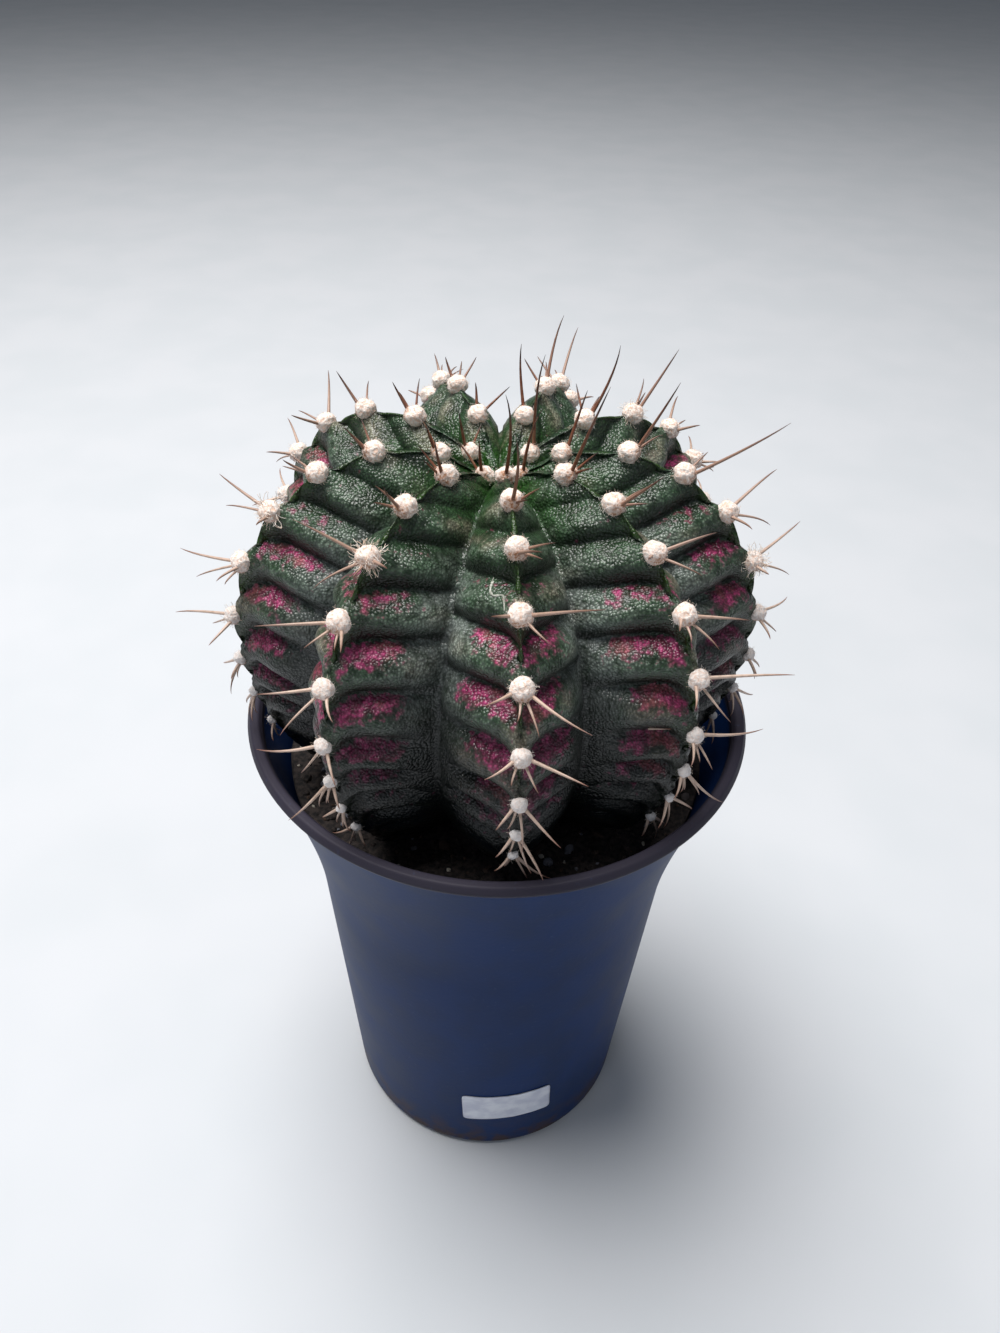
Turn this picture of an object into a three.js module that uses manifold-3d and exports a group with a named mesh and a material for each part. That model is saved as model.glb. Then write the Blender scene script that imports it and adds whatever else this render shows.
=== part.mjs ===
// A globular nine-ribbed cactus in a tall round nursery pot. Millimetres, +Z up, the front towards -Y.
// The origin is the centre of the pot's flat underside.
import * as THREE from "three";
import { mergeVertices } from "three/addons/utils/BufferGeometryUtils.js";
import Module from "manifold-3d";

const wasm = await Module();
wasm.setup();

const TURN = 2 * Math.PI;
const DEGREE = Math.PI / 180;

// Pot: a tall tapered wall that flares into a collar under a rolled rim
const POT_HEIGHT = 99;
const RIM_RADIUS = 40;
const BEAD_RADIUS = 1.1;
const BASE_RADIUS = 27.8;
const BASE_ROUNDING = 1.8;
const WALL_TAPER = 0.0545;
const WALL_THICKNESS = 1;
const FLOOR_THICKNESS = 1.4;
const COLLAR_HEIGHT = 36;
const COLLAR_FLARE = 6;
const POT_SIDES = 48;
const DRAIN_HOLES = 6;
const DRAIN_RADIUS = 3;
const DRAIN_CIRCLE = 16;
const DRAIN_SIDES = 12;
const WALL_LEVEL = 36;
const COLLAR_LEVELS = [66, 75, 82, 88, 93, 96.6];

// Soil: its surface lies below the rim, and a plain hole takes the plant's neck
const SOIL_DEPTH_BELOW_RIM = 10.8;
const SOIL_ROUGHNESS = 0.8;
const SOIL_CLEARANCE = 0.3;
const SOIL_SIDES = 40;
const SOIL_WALL_LEVELS = [66, 78];
const SOIL_RINGS = [32, 29.5, 26.5, 23, 19, 15, 11];
const SHIFTED_GROUND_RADIUS = 16;
const GRAIN_COUNT = 48;
const GRAIN_RADIUS = 1.25;
const GRAINS_FROM_RADIUS = 21;
const GOLDEN_TURN = 0.618034;
const NECK_HOLE_DEPTH = 13;
const NECK_CLEARANCE = 0.4;

// Plant: heights are given above the rim, radii from the plant's own axis
const PLANT_SHIFT = -0.8;
const RIB_COUNT = 9;
const RIBS_EACH_SIDE = 4;
const RIB_PHASE = 0.56;
const SHOULDER_RADIUS = 15.4;
const CREST_REACH = 23.6;
const CREST_TOP = 45.6;
const CREST_GIRTH_HEIGHT = 18.5;
const CREST_UNDERSIDE = 34;
const FURROW_RADIUS = 8;
const FURROW_REACH = 21.5;
const FURROW_TOP = 40;
const FURROW_GIRTH_HEIGHT = 12;
const FURROW_UNDERSIDE = 25;
const CROWN_DIMPLE = 7.5;
const CREST_SHARPNESS = 1.1;
const CROWN_SHARPNESS = 1;

// Steps count areoles down a rib: the crown's rim, the widest girth and the lowest row
const CROWN_STEP = 1.9;
const GIRTH_STEP = 6.5;
const LOWEST_STEP = 11;
const CROWN_TILT = -35 * DEGREE;
const UPPER_STEP_ANGLE = (90 / (GIRTH_STEP - CROWN_STEP)) * DEGREE;
const LOWER_STEP_ANGLE = 11.8 * DEGREE;

// Folds: one under every areole. The creases between them hang in a chin on the crest.
const CREASE_AT = 0.7;
const RIDGE_AT = 0.64;
const CHIN_WIDTH = 0.3;
const CLIMB = 0.34;
const CLIMB_FROM = 2.5;
const FOLD_DEPTH = 3.2;
const CREST_RELIEF = 0.35;
const FLANK_RELIEF = 0.9;
const FLANK_BULGE = 0.36;
const WOOL_RISE = 0.8;

const NECK_RADIUS = 8;
const NECK_LENGTH = 12;
const UNDERSIDE_RADIUS = 17.5;
const UNDERSIDE_CLEARANCE = 1.5;
const ROWS_PER_STEP = 4;
const COLUMNS_ON_A_RIB = [-1, -0.68, -0.32, 0, 0.32, 0.68];

// Wool pads and spines
const WOOL_RADIUS = 1.35;
const LAST_AREOLE_STEP = 9.7;
const WORN_WOOL_FROM = 4.7;
const SPINE_RADIUS = 0.33;
const SPINE_SIDES = 3;
const SHORTEST_SPINE = 2.2;
const SHELTERED_LENGTH = 0.4;
const SPINE_TO_RIM = 1.2;
const SPINE_TO_SOIL = 2;
const UPPER_SPINES_UNTIL = 3.4;
const FOOT_SPINES_FROM = 7;
const BENT_SPINE_LENGTH = 8;

// Sticker on the lower wall
const LABEL_WIDTH = 17.2;
const LABEL_HEIGHT = 9.4;
const LABEL_THICKNESS = 0.25;
const LABEL_AZIMUTH = 9.1 * DEGREE;
const LABEL_CENTRE_HEIGHT = 17.4;
const LABEL_TILT = 2.5 * DEGREE;
const LABEL_GAP = 0.3;

const clamp = (x, low, high) => Math.min(high, Math.max(low, x));
const mix = (a, b, share) => a + (b - a) * share;

function smooth(low, high, x) {
  const t = clamp((x - low) / (high - low), 0, 1);
  return t * t * (3 - 2 * t);
}

// A repeatable draw between 0 and 1 from two whole numbers.
function draw(a, b) {
  const s = Math.sin(a * 12.9898 + b * 78.233) * 43758.5453;
  return s - Math.floor(s);
}

// Azimuth 0 is the front, and the angle grows towards +X.
function around(radius, azimuth, height) {
  return new THREE.Vector3(radius * Math.sin(azimuth), -radius * Math.cos(azimuth), height);
}

function solidOf(geometry, weld = 1e-4) {
  const bare = geometry.clone();
  bare.deleteAttribute("normal");
  bare.deleteAttribute("uv");
  const merged = mergeVertices(bare, weld);
  const vertProperties = new Float32Array(merged.attributes.position.array);
  const triVerts = new Uint32Array(merged.index.array);
  return new wasm.Manifold(new wasm.Mesh({ numProp: 3, vertProperties, triVerts }));
}

function geometryOf(solid) {
  const mesh = solid.getMesh();
  const geometry = new THREE.BufferGeometry();
  geometry.setAttribute("position", new THREE.BufferAttribute(new Float32Array(mesh.vertProperties), 3));
  geometry.setIndex(new THREE.BufferAttribute(new Uint32Array(mesh.triVerts), 1));
  geometry.computeVertexNormals();
  return geometry;
}

function largestBody(solid) {
  return solid.decompose().reduce((a, b) => (b.volume() > a.volume() ? b : a));
}

// Fusing can leave a loose scrap, a sealed hollow or a sliver, and the largest body is the piece itself.
function fusedGeometry(solid, x, y, z) {
  const fused = geometryOf(largestBody(solid)).translate(x, y, z);
  return geometryOf(largestBody(solidOf(fused, 1e-3)));
}

function named(name, geometry, colour, roughness) {
  const material = new THREE.MeshStandardMaterial({ color: colour, roughness, metalness: 0 });
  const mesh = new THREE.Mesh(geometry, material);
  mesh.name = name;
  return mesh;
}

// The pot's outer radius at a height above its base
function wallRadius(height) {
  const flare = clamp((height - (POT_HEIGHT - 1 - COLLAR_HEIGHT)) / COLLAR_HEIGHT, 0, 1);
  return BASE_RADIUS + WALL_TAPER * height + COLLAR_FLARE * flare ** 1.8;
}

function makePot() {
  const beadRadius = RIM_RADIUS - BEAD_RADIUS;
  const beadHeight = POT_HEIGHT - BEAD_RADIUS;
  const inner = (height) => wallRadius(height) - WALL_THICKNESS;
  const profile = [[0, 0]];
  for (const turn of [0, 30, 60, 90]) {
    const angle = turn * DEGREE;
    const roundedEdge = wallRadius(BASE_ROUNDING) - BASE_ROUNDING;
    profile.push([
      roundedEdge + BASE_ROUNDING * Math.sin(angle),
      BASE_ROUNDING * (1 - Math.cos(angle)),
    ]);
  }
  for (const height of [WALL_LEVEL, ...COLLAR_LEVELS]) profile.push([wallRadius(height), height]);
  for (const turn of [-45, 0, 45, 90, 135, 180]) {
    const angle = turn * DEGREE;
    profile.push([
      beadRadius + BEAD_RADIUS * Math.cos(angle),
      beadHeight + BEAD_RADIUS * Math.sin(angle),
    ]);
  }
  for (const height of [...COLLAR_LEVELS].reverse()) profile.push([inner(height), height]);
  profile.push([inner(FLOOR_THICKNESS), FLOOR_THICKNESS], [0, FLOOR_THICKNESS]);
  const points = profile.map(([radius, height]) => new THREE.Vector2(radius, height));
  const shell = new THREE.LatheGeometry(points, POT_SIDES).rotateX(Math.PI / 2);
  let solid = solidOf(shell);
  for (let i = 0; i < DRAIN_HOLES; i += 1) {
    const drill = new THREE.CylinderGeometry(DRAIN_RADIUS, DRAIN_RADIUS, 4 * FLOOR_THICKNESS, DRAIN_SIDES);
    const place = around(DRAIN_CIRCLE, (i * TURN) / DRAIN_HOLES, 0);
    solid = solid.subtract(solidOf(drill.rotateX(Math.PI / 2).translate(place.x, place.y, 0)));
  }
  return named("pot", geometryOf(solid), "#1b2233", 0.42);
}

const SOIL_TOP = POT_HEIGHT - SOIL_DEPTH_BELOW_RIM;

// Soil fills the pot; its top rings are ruffled and carry coarse grains where the plant leaves it open.
function makeSoil() {
  const reach = (height) => wallRadius(height) - WALL_THICKNESS - SOIL_CLEARANCE;
  const bottom = FLOOR_THICKNESS + SOIL_CLEARANCE;
  const holeRadius = NECK_RADIUS + NECK_CLEARANCE;
  const edge = reach(SOIL_TOP - SOIL_ROUGHNESS);
  const wall = [[0, bottom]];
  for (const height of [bottom, ...SOIL_WALL_LEVELS]) wall.push([reach(height), height]);
  const rings = [edge, ...SOIL_RINGS];
  const hole = [
    [holeRadius, SOIL_TOP],
    [holeRadius, SOIL_TOP - NECK_HOLE_DEPTH],
    [0, SOIL_TOP - NECK_HOLE_DEPTH],
  ];
  const profile = [...wall, ...rings.map((radius) => [radius, SOIL_TOP]), ...hole];
  const points = profile.map(([radius, height]) => new THREE.Vector2(radius, height));
  const body = new THREE.LatheGeometry(points, SOIL_SIDES);
  const position = body.getAttribute("position");
  for (let i = 0; i < position.count; i += 1) {
    const ring = (i % points.length) - wall.length;
    const column = Math.floor(i / points.length) % SOIL_SIDES;
    if (ring < 0 || ring >= rings.length) continue;
    position.setY(i, SOIL_TOP + SOIL_ROUGHNESS * (draw(ring, column) - 0.6));
  }
  let solid = solidOf(holeShifted(body.rotateX(Math.PI / 2)));
  for (let i = 0; i < GRAIN_COUNT; i += 1) {
    const share = (i + 0.5) / GRAIN_COUNT;
    const radius = Math.sqrt(mix(GRAINS_FROM_RADIUS ** 2, (edge - 1.3 * GRAIN_RADIUS) ** 2, share));
    const azimuth = i * TURN * GOLDEN_TURN;
    const place = around(radius, azimuth, SOIL_TOP - 0.3 + 0.35 * draw(i, 3));
    const grain = new THREE.IcosahedronGeometry(GRAIN_RADIUS * mix(0.6, 1, draw(i, 1)), 0);
    grain.scale(1, mix(0.7, 1, draw(i, 4)), mix(0.55, 0.8, draw(i, 5)));
    grain.rotateZ(TURN * draw(i, 2)).translate(place.x, place.y, place.z);
    solid = solid.add(solidOf(grain));
  }
  return named("soil", fusedGeometry(solid, 0, 0, 0), "#241e1a", 0.95);
}

// The neck's hole follows the plant's axis, and the ground around it shifts with it.
function holeShifted(geometry) {
  const position = geometry.getAttribute("position");
  for (let i = 0; i < position.count; i += 1) {
    const radius = Math.hypot(position.getX(i), position.getY(i));
    if (position.getZ(i) < SOIL_TOP - NECK_HOLE_DEPTH - 1) continue;
    if (radius < SHIFTED_GROUND_RADIUS) position.setX(i, position.getX(i) + PLANT_SHIFT);
  }
  return geometry;
}

// A rib's azimuth; ribs stand a little closer together at the back right. A half number is a furrow.
function ribAzimuth(rib) {
  const even = (rib * 360) / RIB_COUNT;
  return (even + 3.4 + 3.4 * Math.cos((even + 45) * DEGREE)) * DEGREE;
}

// Areoles on neighbouring ribs are staggered, alike to the left and right of the front rib.
function ribPhase(rib) {
  const phase = RIB_PHASE * Math.abs(rib);
  return phase - Math.floor(phase);
}

// The angle that the crest faces at a step: 0 is straight up, a quarter turn is sideways
function facing(step) {
  if (step < CROWN_STEP) return CROWN_TILT * (1 - step / CROWN_STEP);
  if (step < GIRTH_STEP) return (step - CROWN_STEP) * UPPER_STEP_ANGLE;
  return Math.PI / 2 + (step - GIRTH_STEP) * LOWER_STEP_ANGLE;
}

// A meridian is an ellipse over the shoulder and another under the girth, dimpled towards the crown's
// centre. The furrow's girth lies lower than the crest's, so the folds between them hang down inwards.
function meridian(step, radius, reach, top, girth, underside, dimple) {
  const angle = Math.max(0, facing(step));
  const rise = Math.cos(angle) > 0 ? top - girth : underside;
  const inward = Math.min(1, (step / CROWN_STEP) ** 1.2);
  const height = girth + rise * Math.cos(angle) - dimple * (1 - inward) ** 2.4;
  return [(radius + reach * Math.sin(angle)) * inward, height];
}

function crest(step) {
  return meridian(
    step, SHOULDER_RADIUS, CREST_REACH, CREST_TOP, CREST_GIRTH_HEIGHT, CREST_UNDERSIDE, CROWN_DIMPLE,
  );
}

function furrow(step) {
  const dimple = FURROW_TOP - CREST_TOP + CROWN_DIMPLE;
  return meridian(
    step, FURROW_RADIUS, FURROW_REACH, FURROW_TOP, FURROW_GIRTH_HEIGHT, FURROW_UNDERSIDE, dimple,
  );
}

// The smooth ribbed form. across runs from -1 in one furrow over 0 on the crest to 1 in the next.
function smoothRib(rib, across, step) {
  const sharpness = mix(CROWN_SHARPNESS, CREST_SHARPNESS, clamp((step - 1.5) / 3, 0, 1));
  const share = 1 - Math.abs(across) ** sharpness;
  const [crestRadius, crestHeight] = crest(step);
  const [furrowRadius, furrowHeight] = furrow(step);
  const azimuth = mix(ribAzimuth(rib), ribAzimuth(rib + 0.5 * Math.sign(across)), Math.abs(across));
  return around(mix(furrowRadius, crestRadius, share), azimuth, mix(furrowHeight, crestHeight, share));
}

// The surface normal there, from two short steps along it
function ribNormal(rib, across, step) {
  const small = 0.01;
  const at = Math.max(step, 2 * small);
  const side = clamp(across, -1 + small, 1 - small);
  const right = smoothRib(rib, side + small, at).sub(smoothRib(rib, side - small, at));
  const down = smoothRib(rib, side, at + small).sub(smoothRib(rib, side, at - small));
  return down.cross(right).normalize();
}

// 0 on the sharp crest and nearly 1 far out on the flank
const flankShare = (side) => 1 - Math.exp(-side / CHIN_WIDTH);

// 0 at the crease over a fold and 1 at the one under it. The creases climb from the crest to the
// flanks, the more the lower they are.
function foldPlace(rib, side, step) {
  const climb = CLIMB * Math.max(0, step - CLIMB_FROM) * flankShare(side);
  const place = step + climb - ribPhase(rib) - CREASE_AT;
  return place - Math.floor(place);
}

// 1 on a fold's ridge and 0 in the creases. On the crest the ridge carries the areole.
function swelling(place, side) {
  const ridge = mix(1 - CREASE_AT, RIDGE_AT, flankShare(side));
  const turn = place < ridge ? place / ridge / 2 : 0.5 + (place - ridge) / (1 - ridge) / 2;
  return Math.abs(Math.sin(Math.PI * turn)) ** 0.8;
}

// 0 where a fold stands full and 1 where it has run out into the furrow, low on the plant
const runOut = (side, step) => smooth(0.5, 0.95, side) * smooth(4.5, 6.5, step);

function foldDepth(step) {
  const growing = smooth(1.5, 5, step);
  const fading = clamp((LOWEST_STEP - step) / 3, 0, 1);
  return FOLD_DEPTH * (0.2 + 0.8 * growing) * fading * clamp(step / 0.6, 0, 1);
}

function plantSurface(rib, across, step) {
  const side = Math.abs(across);
  const level = mix(CREST_RELIEF, FLANK_RELIEF, smooth(0, 0.32, side));
  const relief = level * (1 - side ** 8) * (1 - runOut(side, step));
  const bulge = FLANK_BULGE * smooth(0.2, 0.6, side);
  const fold = foldDepth(step) * (1 - bulge - swelling(foldPlace(rib, side, step), side));
  const sunk = WOOL_RISE * (1 - side) ** 2 + fold * relief;
  const fade = clamp(step / 0.6, 0, 1);
  return smoothRib(rib, across, step).addScaledVector(ribNormal(rib, across, step), -sunk * fade);
}

// The ribbed body is a turned form whose vertices are moved onto the ribs; it stands on a plain neck.
function makeBody() {
  const columns = RIB_COUNT * COLUMNS_ON_A_RIB.length;
  const neckTop = UNDERSIDE_CLEARANCE - SOIL_DEPTH_BELOW_RIM;
  const neck = [[0, neckTop - NECK_LENGTH], [NECK_RADIUS - 0.6, neckTop - NECK_LENGTH]];
  neck.push([NECK_RADIUS, neckTop], [UNDERSIDE_RADIUS, neckTop + 0.2]);
  const points = neck.map(([radius, height]) => new THREE.Vector2(radius, height));
  for (let row = 0; row <= LOWEST_STEP * ROWS_PER_STEP; row += 1) points.push(new THREE.Vector2(row, row));
  const turned = new THREE.LatheGeometry(points, columns);
  const position = turned.getAttribute("position");
  for (let i = 0; i < position.count; i += 1) {
    const row = (i % points.length) - neck.length;
    const column = Math.floor(i / points.length) % columns;
    const rib = Math.floor(column / COLUMNS_ON_A_RIB.length) - RIBS_EACH_SIDE;
    const across = COLUMNS_ON_A_RIB[column % COLUMNS_ON_A_RIB.length];
    const step = LOWEST_STEP - Math.max(0, row) / ROWS_PER_STEP;
    let point = plantSurface(rib, across, step);
    if (step === 0) point.set(0, 0, point.z);
    if (row < 0) {
      const [radius, height] = neck[i % points.length];
      point = around(radius, Math.atan2(point.x, -point.y), height);
    }
    position.setXYZ(i, point.x, point.y, point.z);
  }
  return solidOf(turned);
}

// An areole's place and its three directions: out of the plant, down the rib and along the girth
function areoleFrame(rib, step) {
  const azimuth = ribAzimuth(rib);
  const [radius, height] = crest(step);
  const angle = facing(step);
  return {
    place: around(radius, azimuth, height),
    out: around(Math.sin(angle), azimuth, Math.cos(angle)),
    down: around(Math.cos(angle), azimuth, -Math.sin(angle)),
    along: around(1, azimuth + Math.PI / 2, 0),
  };
}

// Wool is fullest on the shoulder, smaller in the crown's centre and worn low on the plant.
function woolRadius(step) {
  const young = clamp((step + 1.2) / 2.6, 0.86, 1);
  const worn = 1 - 0.6 * clamp((step - 5) / 3.5, 0, 1);
  return WOOL_RADIUS * young * worn;
}

// Spines leave an areole's lower edge. Bearing turns from down the rib, lift is from the skin outwards.
// Those that lean towards the front stay short.
const CROWN_SPINES = [
  { bearing: 8, lift: 66, length: 11 },
  { bearing: -64, lift: 40, length: 3.6 },
  { bearing: 60, lift: 40, length: 3.8 },
  { bearing: 22, lift: 30, length: 3.3 },
];
const GIRTH_SPINES = [
  { bearing: -72, lift: 34, length: 8.8 },
  { bearing: 70, lift: 34, length: 8.8 },
  { bearing: -28, lift: 30, length: 5 },
  { bearing: 24, lift: 32, length: 4.6 },
];
const FOOT_SPINES = [
  { bearing: -50, lift: 30, length: 7.5 },
  { bearing: 48, lift: 30, length: 7.5 },
  { bearing: -18, lift: 24, length: 5.6 },
  { bearing: 14, lift: 24, length: 5.6 },
];

function spineKinds(step) {
  if (step < UPPER_SPINES_UNTIL) return CROWN_SPINES;
  return step < FOOT_SPINES_FROM ? GIRTH_SPINES : FOOT_SPINES;
}

// A point clear of the rim, of the pot's wall and of the soil
function isClear(point) {
  const radius = Math.hypot(point.x + PLANT_SHIFT, point.y);
  const height = point.z + POT_HEIGHT;
  if (height > POT_HEIGHT + SPINE_TO_RIM) return true;
  if (height < SOIL_TOP + SPINE_TO_SOIL) return false;
  const wall = wallRadius(Math.min(height, POT_HEIGHT - 2 * BEAD_RADIUS));
  return radius < wall - WALL_THICKNESS - SPINE_TO_RIM;
}

function spinePoints(rib, areole, number, frame, kind, wool) {
  const key = (rib + RIBS_EACH_SIDE) * 16 + areole;
  const vary = (slot) => 2 * draw(key, number * 4 + slot) - 1;
  const bearing = (kind.bearing + 16 * vary(0)) * DEGREE;
  const lift = (kind.lift + 11 * vary(1)) * DEGREE;
  const across = frame.down.clone().multiplyScalar(Math.cos(bearing));
  across.addScaledVector(frame.along, Math.sin(bearing));
  const heading = across.clone().multiplyScalar(Math.cos(lift));
  heading.addScaledVector(frame.out, Math.sin(lift));
  const start = frame.place.clone().addScaledVector(across, 1.1 * wool);
  const root = start.clone().addScaledVector(frame.out, -2.4).addScaledVector(across, -0.6);
  const sheltered = kind.bearing * (rib + 0.5) < 0 ? SHELTERED_LENGTH : 1;
  const longest = kind.length * sheltered * (1 + 0.3 * vary(2));
  for (let length = longest; length > SHORTEST_SPINE; length *= 0.88) {
    const bend = 0.07 * length * vary(3);
    const middle = start.clone().addScaledVector(heading, 0.5 * length);
    middle.addScaledVector(frame.out, 0.05 * length).addScaledVector(frame.along, bend);
    const tip = start.clone().addScaledVector(heading, length);
    if (isClear(middle) && isClear(tip)) return { root, middle, tip, length };
  }
  return null;
}

// A three-sided needle through its root, middle and tip; a short one is straight.
function makeSpine({ root, middle, tip, length }) {
  const rings = length > BENT_SPINE_LENGTH ? 2 : 1;
  const needle = new THREE.ConeGeometry(SPINE_RADIUS, 2, SPINE_SIDES, rings);
  const position = needle.getAttribute("position");
  const heading = tip.clone().sub(root).normalize();
  const turn = new THREE.Quaternion().setFromUnitVectors(new THREE.Vector3(0, 1, 0), heading);
  for (let i = 0; i < position.count; i += 1) {
    const level = position.getY(i);
    const centre = level < -0.5 ? root : level > 0.5 ? tip : middle;
    const girth = level < -0.5 ? 1 : 1.5;
    const offset = new THREE.Vector3(position.getX(i) * girth, 0, position.getZ(i) * girth);
    offset.applyQuaternion(turn).add(centre);
    position.setXYZ(i, offset.x, offset.y, offset.z);
  }
  return solidOf(needle);
}

function makeAreole(rib, areole, step) {
  const frame = areoleFrame(rib, step);
  const wool = woolRadius(step);
  const Pad = step > WORN_WOOL_FROM ? THREE.OctahedronGeometry : THREE.IcosahedronGeometry;
  const pad = new Pad(wool);
  const centre = frame.place.clone().addScaledVector(frame.out, -0.5);
  pad.rotateZ(TURN * draw(rib, areole)).translate(centre.x, centre.y, centre.z);
  const pieces = [solidOf(pad)];
  spineKinds(step).forEach((kind, number) => {
    if (step < 1.3 && number > 1) return;
    const points = spinePoints(rib, areole, number, frame, kind, wool);
    if (points) pieces.push(makeSpine(points));
  });
  return pieces;
}

function makeCactus() {
  let solid = makeBody();
  for (let rib = -RIBS_EACH_SIDE; rib <= RIBS_EACH_SIDE; rib += 1) {
    const steps = [];
    for (let n = 0; n + ribPhase(rib) < LAST_AREOLE_STEP; n += 1) {
      if (n + ribPhase(rib) > 0.5) steps.push(n + ribPhase(rib));
    }
    steps.forEach((step, areole) => {
      for (const piece of makeAreole(rib, areole, step)) solid = solid.add(piece);
    });
  }
  return named("cactus", fusedGeometry(solid, PLANT_SHIFT, 0, POT_HEIGHT), "#3f5439", 0.62);
}

// A thin plate bent round the wall, with its edges square
function makeLabel() {
  const plate = new THREE.BoxGeometry(LABEL_WIDTH, LABEL_HEIGHT, LABEL_THICKNESS, 10, 1, 1);
  plate.rotateZ(LABEL_TILT);
  const position = plate.getAttribute("position");
  for (let i = 0; i < position.count; i += 1) {
    const height = LABEL_CENTRE_HEIGHT + position.getY(i);
    const radius = wallRadius(height) + LABEL_GAP + LABEL_THICKNESS / 2 + position.getZ(i);
    const point = around(radius, LABEL_AZIMUTH + position.getX(i) / wallRadius(height), height);
    position.setXYZ(i, point.x, point.y, point.z);
  }
  return named("label", geometryOf(solidOf(plate)), "#c8ccd2", 0.35);
}

const plant = new THREE.Group();
plant.add(makePot(), makeSoil(), makeCactus(), makeLabel());
export default plant;
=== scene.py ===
import math

import bpy
import numpy as np
from mathutils import Matrix, Vector, noise


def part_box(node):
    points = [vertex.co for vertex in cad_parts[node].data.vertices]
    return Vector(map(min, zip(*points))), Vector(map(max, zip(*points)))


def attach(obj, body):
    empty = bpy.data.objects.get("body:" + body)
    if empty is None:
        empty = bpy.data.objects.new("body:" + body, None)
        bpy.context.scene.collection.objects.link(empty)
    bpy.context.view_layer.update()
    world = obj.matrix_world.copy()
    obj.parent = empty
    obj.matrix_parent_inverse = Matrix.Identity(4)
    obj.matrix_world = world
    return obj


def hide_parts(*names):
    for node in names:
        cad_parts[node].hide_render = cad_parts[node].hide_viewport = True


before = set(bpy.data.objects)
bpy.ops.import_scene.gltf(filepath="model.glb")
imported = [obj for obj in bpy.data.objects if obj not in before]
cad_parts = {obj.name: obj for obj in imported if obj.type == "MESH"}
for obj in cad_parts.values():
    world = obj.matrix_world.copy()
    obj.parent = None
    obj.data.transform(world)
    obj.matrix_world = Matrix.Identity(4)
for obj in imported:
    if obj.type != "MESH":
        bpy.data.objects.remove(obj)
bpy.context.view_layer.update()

# A ribbed cactus in its nursery pot. Forms are given in millimetres, the plant's by the rule of its solid,
# and every mesh is made in metres, with the origin under the middle of the pot.
MM = 0.001
TURN = 2 * math.pi
FLOOR_REACH = 3000

# Photograph's camera, from the ellipses of the pot's rim and base
IMAGE_WIDTH = 1000
IMAGE_HEIGHT = 1333
FOCAL_PIXELS = 1001
RIM_CENTRE_PIXEL = (499.0, 691.6)
CAMERA_DISTANCE = 163.1
CAMERA_ELEVATION = math.radians(41.33)
CAMERA_ROLL = math.radians(2.03)
SENSOR = 36

# Pot
POT_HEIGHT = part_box("pot")[1][2] / MM
RIM_RADIUS = 40
BEAD_RADIUS = 1.1
BASE_RADIUS = 27.8
BASE_ROUNDING = 1.8
WALL_TAPER = 0.0545
WALL_THICKNESS = 1
FLOOR_THICKNESS = 1.4
COLLAR_HEIGHT = 36
COLLAR_FLARE = 6
COLLAR_CURVE = 1.8
COLLAR_FOOT = POT_HEIGHT - 1 - COLLAR_HEIGHT
DRAIN_HOLES = 6
DRAIN_RADIUS = 3
DRAIN_CIRCLE = 16
BEAD_ANGLES = (-62, 190)
BEAD_POINTS = 22
WALL_ROWS = 46
INNER_ROWS = 40
POT_SIDES = 160
DRAIN_SIDES = 28

# Soil
SOIL_TOP = POT_HEIGHT - 10.8
SOIL_CLEARANCE = 0.3
NECK_HOLE_DEPTH = 13
NECK_HOLE_RADIUS = 8.4
SHIFTED_GROUND_RADIUS = 16
GRIT_FROM_RADIUS = 19
SOIL_SIDES = 144
SOIL_WALL_ROWS = 14
SOIL_TOP_RINGS = 46
LUMP_SIZE = 3.4
LUMP_HEIGHT = 0.7
CRUMB_SIZE = 1.3
CRUMB_HEIGHT = 0.35

# Plant: heights are given above the rim, radii from the plant's own axis, and steps count areoles
PLANT_SHIFT = -0.8
PLANT_PLACE = np.array([PLANT_SHIFT, 0, POT_HEIGHT])
RIBS_EACH_SIDE = 4
RIB_COUNT = 2 * RIBS_EACH_SIDE + 1
RIB_PHASE = 0.56
CREST_FORM = dict(radius=15.4, reach=23.6, top=45.6, girth=18.5, underside=34, dimple=7.5)
FURROW_FORM = dict(radius=8, reach=21.5, top=40, girth=12, underside=25, dimple=1.9)
CREST_SHARPNESS = 1.1
CROWN_SHARPNESS = 1.0
CROWN_STEP = 1.9
GIRTH_STEP = 6.5
LOWEST_STEP = 11
CROWN_TILT = math.radians(-35)
UPPER_STEP_ANGLE = math.radians(90) / (GIRTH_STEP - CROWN_STEP)
LOWER_STEP_ANGLE = math.radians(11.8)
CREASE_AT = 0.7
RIDGE_AT = 0.64
CHIN_WIDTH = 0.3
CROWN_CURVE = 1.2
DIMPLE_CURVE = 2.4
CROWDING = 3.4
CROWDED_FROM = 45
CLIMB = 0.34
CLIMB_FROM = 2.5
FOLD_DEPTH = 3.2
CREST_RELIEF = 0.35
FLANK_RELIEF = 0.9
FLANK_BULGE = 0.36
WOOL_RISE = 0.8
KEEL_RISE = 0.3
SEAT_RISE = 0.35
GROOVE_DEPTH = 0.25
WIDE_GRAIN = 9
MEDIUM_GRAIN = 3.2
FINE_GRAIN = 1.1
FINE_WRINKLE = 0.12
BROAD_WRINKLE = 0.15
NECK = [(17.5, -9.1), (8, -9.3), (7.4, -21.3)]
SKIN_MARKS = ["blush", "tan", "shade", "painted_ridge_highlight", "crown", "keel", "dust", "low"]
ROWS_PER_STEP = 24
COLUMNS_PER_RIB = 34

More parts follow.
